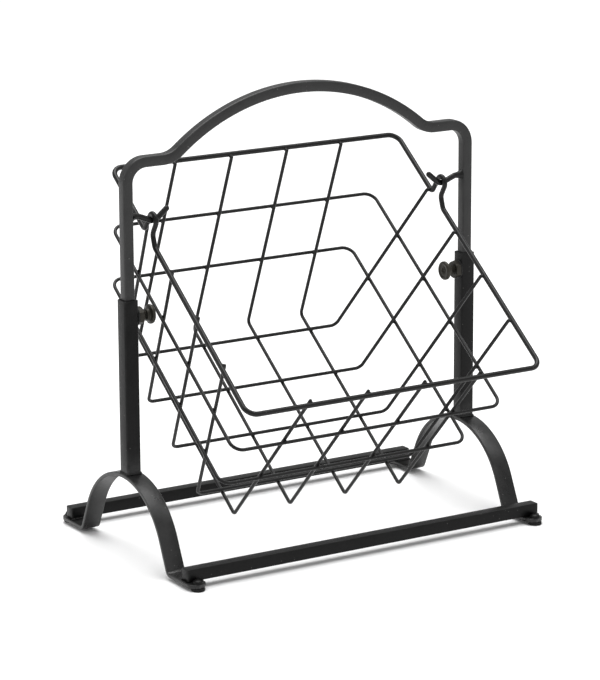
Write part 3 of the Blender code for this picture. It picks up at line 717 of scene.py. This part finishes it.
def add_stud(side, word, finish):
    """Stud with its thread's crests and roots."""
    length = STUD_HIGH.x - STUD_LOW.x
    root = STUD_RADIUS - THREAD_DEPTH
    profile = [(STUD_RADIUS - 1.2 * MM, 0.0), (root, 0.8 * MM)]
    crest = 1.4 * MM
    while crest < length - 0.6 * MM:
        profile += [(root, crest - THREAD_PITCH * THREAD_ROOT),
                    (STUD_RADIUS, crest - THREAD_PITCH * THREAD_CREST),
                    (STUD_RADIUS, crest + THREAD_PITCH * THREAD_CREST),
                    (root, crest + THREAD_PITCH * THREAD_ROOT)]
        crest += THREAD_PITCH
    profile.append((root, length))
    add_piece(f"{word} clamp stud",
              turned(profile, (side * STUD_HIGH.x, POST_Y, CLAMP_Z), (-side, 0, 0)),
              finish["screw"], f"{word}_stud", [f"{word}_clamp_stud"])


def add_knob(side, word, finish):
    """Round dished knob on a short collar, its face hollowed round a centre dimple."""
    radius = (KNOB_HIGH.z - KNOB_LOW.z) / 2
    length = KNOB_HIGH.x - KNOB_LOW.x
    neck = length * 0.5
    profile = [(4.0 * MM, 0.0), (6.0 * MM, 0.0), (6.4 * MM, 0.4 * MM), (6.4 * MM, neck * 0.62),
               (6.9 * MM, neck * 0.8), (7.9 * MM, neck * 0.93), (radius - 0.9 * MM, neck),
               (radius - 0.25 * MM, neck + 0.35 * MM), (radius, neck + 1.0 * MM),
               (radius, length - 1.5 * MM), (radius - 0.25 * MM, length - 0.8 * MM),
               (radius - 0.9 * MM, length - 0.25 * MM), (radius - 1.7 * MM, length),
               (radius - 2.6 * MM, length - 0.15 * MM), (radius - 3.6 * MM, length - 0.6 * MM),
               (radius - 5.0 * MM, length - 0.75 * MM), (4.3 * MM, length - 0.6 * MM),
               (3.6 * MM, length - 0.5 * MM), (3.1 * MM, length - 0.9 * MM),
               (2.5 * MM, length - 1.7 * MM), (1.2 * MM, length - 2.1 * MM),
               (0.3 * MM, length - 2.2 * MM)]
    add_piece(f"{word} clamp knob",
              turned(profile, (side * KNOB_HIGH.x, POST_Y, CLAMP_Z), (-side, 0, 0), 64),
              finish["screw"], f"{word}_knob", [f"{word}_clamp_knob"])


# ---------------------------------------------------------------- handle and hooks

def handle_path():
    """Middle line of the handle, leg end to leg end."""
    shoulder_z = SHOULDER_TOP - TUBE_SIZE / 2
    top_z = HANDLE_HIGH.z - TUBE_SIZE / 2
    dip_x = POST_X - DIP_FROM_POST
    dip_z = shoulder_z + DIP_RADIUS
    fall = top_z - dip_z
    crown_radius = (dip_x ** 2 + fall ** 2 - DIP_RADIUS ** 2) / (2 * (DIP_RADIUS + fall))
    crown_z = top_z - crown_radius
    crown_angle = math.degrees(math.atan2(dip_x, dip_z - crown_z))
    corner = (POST_X - SHOULDER_RADIUS, shoulder_z - SHOULDER_RADIUS)
    leg = [(POST_X, corner[1] + (HANDLE_LOW.z - corner[1]) * k / 12) for k in range(1, 13)]
    right = (arc((0.0, crown_z), crown_radius, 0.0, crown_angle, 1.2)
             + arc((dip_x, dip_z), DIP_RADIUS, 180.0 + crown_angle, 180.0, 3.0)[1:]
             + arc(corner, SHOULDER_RADIUS, 0.0, 90.0, 4.0) + leg)
    half_path = [Vector((x, POST_Y, z)) for x, z in right]
    left = [Vector((-place.x, place.y, place.z)) for place in reversed(half_path[1:])]
    return spaced(left + half_path)


def add_handle(finish):
    path = handle_path()
    half = TUBE_SIZE / 2
    outline = square_outline(half, half, TUBE_CORNER, 4)
    add_piece("bent handle", swept(path, [outline] * len(path), (0, 1, 0)), finish["tube"],
              "handle", ["bent_handle"])


def add_hook(side, word, finish):
    """Bent round rod, flared where it is welded to the handle's leg."""
    low_x = (RIM_HIGH.x - RIM_LOW.x) / 2 - RIM_RADIUS
    centre = (low_x, HOOK_HEIGHT + HOOK_BEND_RADIUS)
    bend = arc(centre, HOOK_BEND_RADIUS, 180.0 - HOOK_ROOT_ANGLE, 180.0 + HOOK_TIP_ANGLE, 4.0)
    root_z = HOOK_HEIGHT + HOOK_ROOT_RISE
    knee_x = bend[0][0] + (root_z - bend[0][1]) / math.tan(math.radians(HOOK_ROOT_ANGLE))
    tip_run = low_x - HOOK_TIP_REACH - bend[-1][0]
    tip = (bend[-1][0] + tip_run,
           bend[-1][1] - tip_run * math.tan(math.radians(HOOK_TIP_ANGLE)))
    root = bent([((POST_X - TUBE_SIZE / 2 + 0.2 * MM, 0.0, root_z), 0.0),
                 ((knee_x, 0.0, root_z), HOOK_ROOT_BEND),
                 ((bend[0][0], 0.0, bend[0][1]), 0.0)])
    points = root[:-1] + [Vector((x, 0.0, z)) for x, z in bend + [tip]]
    path = [Vector((side * place.x, POST_Y, place.z)) for place in points]
    rod = domed_rod(path, HOOK_RADIUS, (0, 1, 0), HOOK_FLARE, HOOK_FLARE_LENGTH)
    add_piece(f"{word} hook rod", rod, finish["wire"], "handle",
              [f"{word}_hook_rod"], sharp=60.0)
    ring = [Vector((side * (POST_X - TUBE_SIZE / 2), POST_Y + a, root_z + b))
            for a, b in round_outline(HOOK_RADIUS + 0.8 * MM, 32)]
    add_piece(f"{word} hook weld",
              weld_bead(ring, HOOK_WELD, (1, 0, 0), 91 + side, closed=True), finish["weld"],
              "handle", sharp=60.0)


# ---------------------------------------------------------------- basket

RIM_FRONT = Vector((0.0, RIM_LOW.y + RIM_RADIUS, RIM_LOW.z + RIM_RADIUS))
RIM_REAR = Vector((0.0, RIM_HIGH.y - RIM_RADIUS, RIM_HIGH.z - RIM_RADIUS))
RIM_MIDDLE = (RIM_FRONT + RIM_REAR) / 2
RIM_DEPTH = (RIM_REAR - RIM_FRONT).length
RIM_HALF = (RIM_HIGH.x - RIM_LOW.x) / 2 - RIM_RADIUS
TILT = math.atan2(RIM_REAR.z - RIM_FRONT.z, RIM_REAR.y - RIM_FRONT.y)
TILTED = Matrix.Rotation(TILT, 3, "X")


def hung(x, y, z):
    """Place in the hanging basket, given from its rim's middle with the rim flat."""
    return RIM_MIDDLE + TILTED @ Vector((x, y, z))


def rim_path():
    depth = RIM_DEPTH / 2
    top = EYE_UP + EYE_HALF
    run = [((depth, 0.0), CORNER), ((EYE_BACK + EYE_HALF, 0.0), EYE_FOOT),
           ((EYE_BACK + EYE_HALF, top), EYE_HALF), ((EYE_BACK - EYE_HALF, top), EYE_HALF),
           ((EYE_BACK - EYE_HALF - EYE_LEAN, EYE_UP * EYE_LEAN_SHARE), EYE_SWEEP),
           ((EYE_BACK - EYE_RUN_OUT, 0.0), EYE_SWEEP), ((-depth, 0.0), CORNER)]
    right = [(hung(RIM_HALF, y, z), radius) for (y, z), radius in run]
    left = [(hung(-RIM_HALF, y, z), radius) for (y, z), radius in reversed(run)]
    return bent(right + left, closed=True)


def wall_at(bottom, top, drop, full):
    """Distance out of a sloping wall at a drop below the rim."""
    return top + (bottom - top) * drop / full


def ring_sides(drop):
    """Rear, front and end reach of a ring at a drop below the rim."""
    rim_y = RIM_DEPTH / 2 - HANG
    rim_x = RIM_HALF - HANG
    reach = []
    for bottom, top, full in ((BOTTOM_REAR, rim_y, BASKET_DROP),
                              (BOTTOM_FRONT, rim_y, BASKET_DROP),
                              (BOTTOM_HALF_LENGTH, rim_x, BASKET_DROP - CROSSING)):
        lean = math.atan2(bottom - top, full)
        reach.append(wall_at(bottom, top, drop, full) + CROSSING / math.cos(lean))
    return reach


def ring_path(drop):
    rear, front, end = ring_sides(drop)
    corners = [(end, rear), (end, -front), (-end, -front), (-end, rear)]
    return bent([(hung(x, y, -drop), CORNER) for x, y in corners], closed=True)


def cross_wire_path(x):
    rim_y = RIM_DEPTH / 2 - HANG
    rear = rim_y + (rim_y - BOTTOM_REAR) * REAR_TIP / BASKET_DROP
    front = rim_y + (rim_y - BOTTOM_FRONT) * FRONT_TIP / BASKET_DROP
    return bent([(hung(x, rear, REAR_TIP), 0.0), (hung(x, BOTTOM_REAR, -BASKET_DROP), REAR_BEND),
                 (hung(x, -BOTTOM_FRONT, -BASKET_DROP), FRONT_BEND),
                 (hung(x, -front, FRONT_TIP), 0.0)])


def long_wire_path(y):
    rim_x = RIM_HALF - HANG
    drop = BASKET_DROP - CROSSING
    out = rim_x + (rim_x - BOTTOM_HALF_LENGTH) * LONG_TIP / drop
    return bent([(hung(-out, y, LONG_TIP), 0.0), (hung(-BOTTOM_HALF_LENGTH, y, -drop), END_BEND),
                 (hung(BOTTOM_HALF_LENGTH, y, -drop), END_BEND), (hung(out, y, LONG_TIP), 0.0)])


def evenly(count, spacing, middle=0.0):
    return [middle + (index - (count - 1) / 2) * spacing for index in range(count)]


CROSS_PLACES = evenly(4, CROSS_SPACING)
LONG_PLACES = evenly(4, -LONG_SPACING, LONG_MIDDLE)


def fused_spot(place, away, run, chance):
    """Small squashed blob where two wires are welded; away points from one to the other."""
    along = Vector(run).normalized()
    out = Vector(away).normalized()
    size = chance.uniform(0.92, 1.1) * MM
    path = [place + out * (offset * MM) for offset in (-1.6, -1.2, -0.5, 0.5, 1.2, 1.6)]
    outlines = [[(a * SPOT_STRETCH, b) for a, b in round_outline(width * size, SPOT_SIDES)]
                for width in (0.9, 1.35, 1.75, 1.75, 1.35, 0.9)]
    return swept(path, outlines, along)


def add_basket_welds(finish):
    """Resistance-weld spots at every crossing of the wires."""
    chance = random.Random(5)
    rim_y = RIM_DEPTH / 2 - HANG
    rim_x = RIM_HALF - HANG
    spots = []
    levels = [(0.0, RIM_RADIUS)] + [(drop, WIRE_RADIUS) for drop in RING_DROPS.values()]
    for drop, thick in levels:
        for x in CROSS_PLACES:
            for bottom, way in ((BOTTOM_REAR, 1), (BOTTOM_FRONT, -1)):
                wall = wall_at(bottom, rim_y, drop, BASKET_DROP)
                out = TILTED @ Vector((0, way, 0))
                spots.append(fused_spot(hung(x, way * (wall + WIRE_RADIUS + SPOT_INSET), -drop),
                                        out, TILTED @ Vector((1, 0, 0)), chance))
        for y in LONG_PLACES:
            for way in (-1, 1):
                wall = wall_at(BOTTOM_HALF_LENGTH, rim_x, drop, BASKET_DROP - CROSSING)
                spots.append(fused_spot(hung(way * (wall + WIRE_RADIUS + SPOT_INSET), y, -drop),
                                        (way, 0, 0), TILTED @ Vector((0, 1, 0)), chance))
    for x in CROSS_PLACES:
        for y in LONG_PLACES:
            spots.append(fused_spot(hung(x, y, -BASKET_DROP + CROSSING / 2),
                                    TILTED @ Vector((0, 0, 1)), (1, 0, 0), chance))
    add_piece("basket weld spots", joined(spots), finish["weld"], "basket",
              sharp=60.0)


def add_wire(name, path, radius, finish, closed=False):
    """Round wire with domed ends, or a closed ring of it."""
    if closed:
        solid = swept(path, [round_outline(radius)] * len(path),
                      TILTED @ Vector((0, 0, 1)), closed=True)
    else:
        solid = domed_rod(path, radius, (1, 0.2, 0.1))
    add_piece(name.replace("_", " "), solid, finish["wire"], "basket",
              [name], sharp=60.0)


def add_basket(finish):
    coated = WIRE_RADIUS + WIRE_COAT
    add_wire("basket_rim", rim_path(), RIM_RADIUS, finish, closed=True)
    for name, drop in RING_DROPS.items():
        add_wire(name, ring_path(drop), coated, finish, closed=True)
    for number, x in enumerate(CROSS_PLACES, 1):
        add_wire(f"basket_cross_wire_{number}", cross_wire_path(x), coated, finish)
    for number, y in enumerate(LONG_PLACES, 1):
        add_wire(f"basket_long_wire_{number}", long_wire_path(y), coated, finish)
    add_basket_welds(finish)


# ---------------------------------------------------------------- studio

CAMERA_PLACE = Vector((-1.71028, -2.794725 + POST_Y, 1.032025))
CAMERA_YAW = 31.44
CAMERA_DOWN = 14.287
CAMERA_ROLL = -0.265
LENS = 173.05


def add_camera():
    data = bpy.data.cameras.new("camera")
    data.lens = LENS
    data.sensor_width = 36.0
    data.clip_end = 50.0
    camera = bpy.data.objects.new("camera", data)
    camera.location = CAMERA_PLACE
    yaw = Matrix.Rotation(math.radians(-CAMERA_YAW), 3, "Z")
    pitch = Matrix.Rotation(math.radians(90.0 - CAMERA_DOWN), 3, "X")
    roll = Matrix.Rotation(math.radians(CAMERA_ROLL), 3, "Z")
    camera.rotation_euler = (yaw @ pitch @ roll).to_euler()
    bpy.context.scene.collection.objects.link(camera)
    bpy.context.scene.camera = camera


def add_area_light(name, place, target, size, power):
    data = bpy.data.lights.new(name, "AREA")
    data.shape = "DISK"
    data.size = size
    data.energy = power
    light = bpy.data.objects.new(name, data)
    light.location = place
    light.rotation_euler = (Vector(place) - Vector(target)).to_track_quat("Z", "Y").to_euler()
    bpy.context.scene.collection.objects.link(light)


def add_floor():
    mesh = bpy.data.meshes.new("floor")
    reach = 12.0
    mesh.from_pydata([(-reach, -reach, 0), (reach, -reach, 0), (reach, reach, 0),
                      (-reach, reach, 0)], [], [(0, 1, 2, 3)])
    floor = bpy.data.objects.new("floor", mesh)
    material = bpy.data.materials.new("pale studio floor")
    material.use_nodes = True
    shader = material.node_tree.nodes["Principled BSDF"]
    shader.inputs["Base Color"].default_value = (0.92, 0.92, 0.92, 1.0)
    shader.inputs["Roughness"].default_value = 0.9
    shader.inputs["Specular IOR Level"].default_value = 0.1
    mesh.materials.append(material)
    bpy.context.scene.collection.objects.link(floor)


def add_studio():
    add_camera()
    add_floor()
    middle = (0.0, 0.0, 0.2)
    add_area_light("left key", (-2.8, 0.6, 1.6), middle, 1.6, 12.0)
    add_area_light("top soft", (0.3, 0.8, 5.5), middle, 5.0, 330.0)
    add_area_light("front fill", (0.8, -3.2, 2.2), middle, 1.8, 8.0)
    add_area_light("right rim", (2.2, -1.0, 3.4), middle, 1.3, 12.0)
    world = bpy.data.worlds.new("white studio")
    world.use_nodes = True
    back = world.node_tree.nodes["Background"]
    back.inputs["Color"].default_value = (1.0, 1.0, 1.0, 1.0)
    back.inputs["Strength"].default_value = 0.55
    bpy.context.scene.world = world
    bpy.context.scene.view_settings.view_transform = "Standard"


# ---------------------------------------------------------------- build

def build():
    finish = make_finishes()
    for side, word in side_words():
        add_arch(side, word, finish)
        add_sleeve(side, word, finish)
        add_base_welds(side, word, finish)
        add_nut(side, word, finish)
        add_stud(side, word, finish)
        add_knob(side, word, finish)
        add_hook(side, word, finish)
        for end, place in ((-1, "front"), (1, "rear")):
            add_foot(place, word, side, end, finish)
    for word in ("front", "rear"):
        add_rail(word, finish)
    add_handle(finish)
    add_basket(finish)
    add_studio()


build()
bpy.context.view_layer.update()
